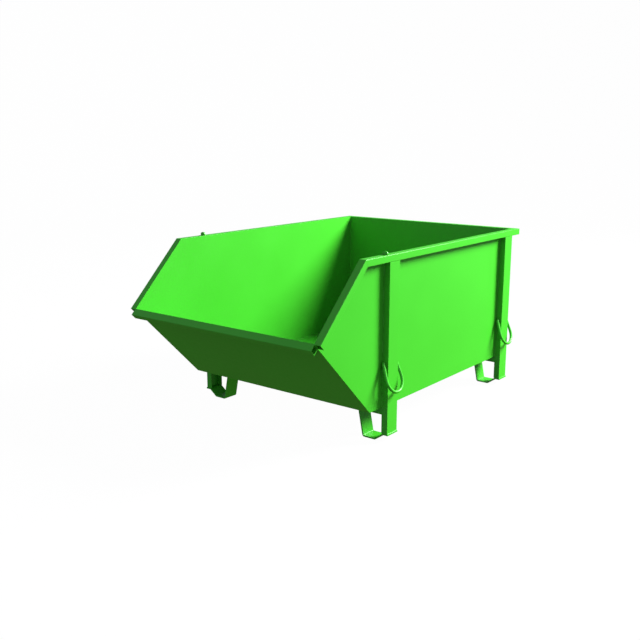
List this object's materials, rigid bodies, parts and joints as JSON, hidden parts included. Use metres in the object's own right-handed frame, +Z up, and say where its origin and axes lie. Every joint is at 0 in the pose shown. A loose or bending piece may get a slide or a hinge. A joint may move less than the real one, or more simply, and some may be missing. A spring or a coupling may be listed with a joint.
{
  "type": "loading skip",
  "caption": "Open stackable steel loading skip with a sloping chute front, rim of square tube, corner posts, bent stacking feet and swinging lifting bails.",
  "frame": {"origin": "on the ground under the middle of the skip, level with the soles of the four feet", "axes": "+Z up, +Y towards the upright rear wall, so the chute and its lip face -Y, and +X to the right seen from the chute with +Y ahead"},
  "size_m": [1.3466, 1.9637, 0.9615],
  "materials": {
    "green_paint": "bright green enamel, semi-gloss, over welded plate",
    "plain_steel": "plain turned steel, lightly greased"
  },
  "bodies": {
    "skip": {"side_panel_right": "green_paint", "side_panel_left": "green_paint", "floor_plate": "green_paint", "rear_wall": "green_paint", "chute_plate": "green_paint", "rim_rail_right": "green_paint", "rim_rail_left": "green_paint", "rim_slope_right": "green_paint", "rim_slope_left": "green_paint", "rim_rail_rear": "green_paint", "lip_rail": "green_paint", "beam_front": "green_paint", "beam_rear": "green_paint", "post_front_right": "green_paint", "post_front_left": "green_paint", "post_rear_right": "green_paint", "post_rear_left": "green_paint", "foot_front_right": "green_paint", "foot_front_left": "green_paint", "foot_rear_right": "green_paint", "foot_rear_left": "green_paint", "bail_bushes_front_right": "green_paint", "bail_bushes_front_left": "green_paint", "bail_bushes_rear_right": "green_paint", "bail_bushes_rear_left": "green_paint", "stacking_stop_right": "green_paint", "stacking_stop_left": "green_paint"},
    "bail_front_right": {"bail_front_right": "green_paint", "bail_collars_front_right": "plain_steel"},
    "bail_front_left": {"bail_front_left": "green_paint", "bail_collars_front_left": "plain_steel"},
    "bail_rear_right": {"bail_rear_right": "green_paint", "bail_collars_rear_right": "plain_steel"},
    "bail_rear_left": {"bail_rear_left": "green_paint", "bail_collars_rear_left": "plain_steel"}
  },
  "joints": [
    {"name": "bail_hinge_front_right", "type": "hinge", "parent": "skip", "child": "bail_front_right", "pos_m": [0.612, -0.38, 0.409], "axis": [0, -1, 0], "range_deg": [-6.5, 146]},
    {"name": "bail_hinge_front_left", "type": "hinge", "parent": "skip", "child": "bail_front_left", "pos_m": [-0.612, -0.38, 0.409], "axis": [0, 1, 0], "range_deg": [-6.5, 146]},
    {"name": "bail_hinge_rear_right", "type": "hinge", "parent": "skip", "child": "bail_rear_right", "pos_m": [0.612, 0.843, 0.409], "axis": [0, -1, 0], "range_deg": [-6.5, 146]},
    {"name": "bail_hinge_rear_left", "type": "hinge", "parent": "skip", "child": "bail_rear_left", "pos_m": [-0.612, 0.843, 0.409], "axis": [0, 1, 0], "range_deg": [-6.5, 146]}
  ]
}
